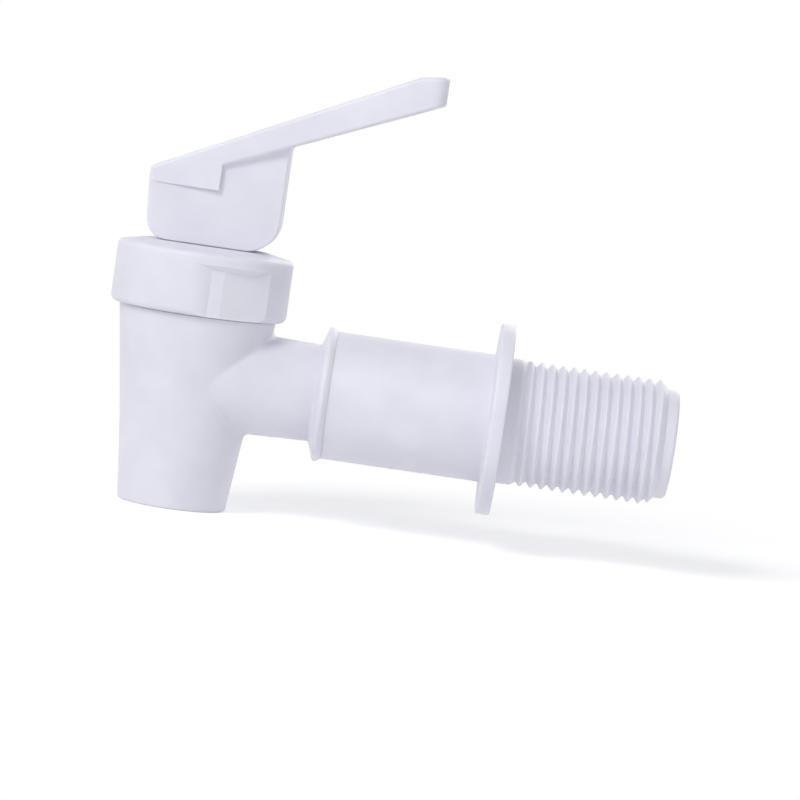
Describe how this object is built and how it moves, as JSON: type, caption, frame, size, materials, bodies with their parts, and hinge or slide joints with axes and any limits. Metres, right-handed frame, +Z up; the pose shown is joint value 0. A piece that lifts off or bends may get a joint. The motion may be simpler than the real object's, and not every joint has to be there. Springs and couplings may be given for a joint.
{
  "type": "lever dispenser tap",
  "caption": "White moulded plastic lever tap: cam lever over a screw bonnet, tapered valve body with a down spout, and a flanged inlet with a threaded tail.",
  "frame": {"origin": "centre of the flange's back face, which seals against the container's wall, on the inlet axis", "axes": "+X along the inlet thread into the container, +Z up, the spout pours along -Z; the valve axis is vertical, 52.8 mm from the flange's back face along -X"},
  "size_m": [0.096, 0.032, 0.0767],
  "materials": {
    "white_polypropylene": "satin moulded, slightly translucent",
    "white_acetal": "satin moulded",
    "clear_silicone": "soft, milky",
    "nitrile_rubber": "moulded, matt",
    "spring_steel": "drawn stainless wire"
  },
  "bodies": {
    "tap_body": {"valve_body": "white_polypropylene", "inlet_nipple": "white_polypropylene", "joint_o_ring": "nitrile_rubber", "bonnet_cap": "white_polypropylene", "seat_cup": "clear_silicone", "return_spring": "spring_steel"},
    "spring_carrier": {"spring_washer": "white_acetal"},
    "stem": {"valve_stem": "white_acetal"},
    "lever": {"lever_handle": "white_polypropylene"}
  },
  "joints": [
    {"name": "valve_lift", "type": "slide", "parent": "tap_body", "child": "spring_carrier", "axis": [0, 0, 1], "range_m": [0, 0.0028], "deforming": ["seat_cup", "return_spring"]},
    {"name": "lever_swivel", "type": "hinge", "parent": "spring_carrier", "child": "stem", "pos_m": [-0.0528, 0, 0], "axis": [0, 0, 1], "continuous": true},
    {"name": "lever_tilt", "type": "hinge", "parent": "stem", "child": "lever", "pos_m": [-0.0528, 0, 0.02723], "axis": [0, 1, 0], "range_deg": [0, 25], "stiffness_Nm_per_rad": 0.0287, "springref_deg": -44.69}
  ],
  "couplings": [
    {"joint": "valve_lift", "follows": "lever_tilt", "m_per_rad": 0.0064}
  ]
}
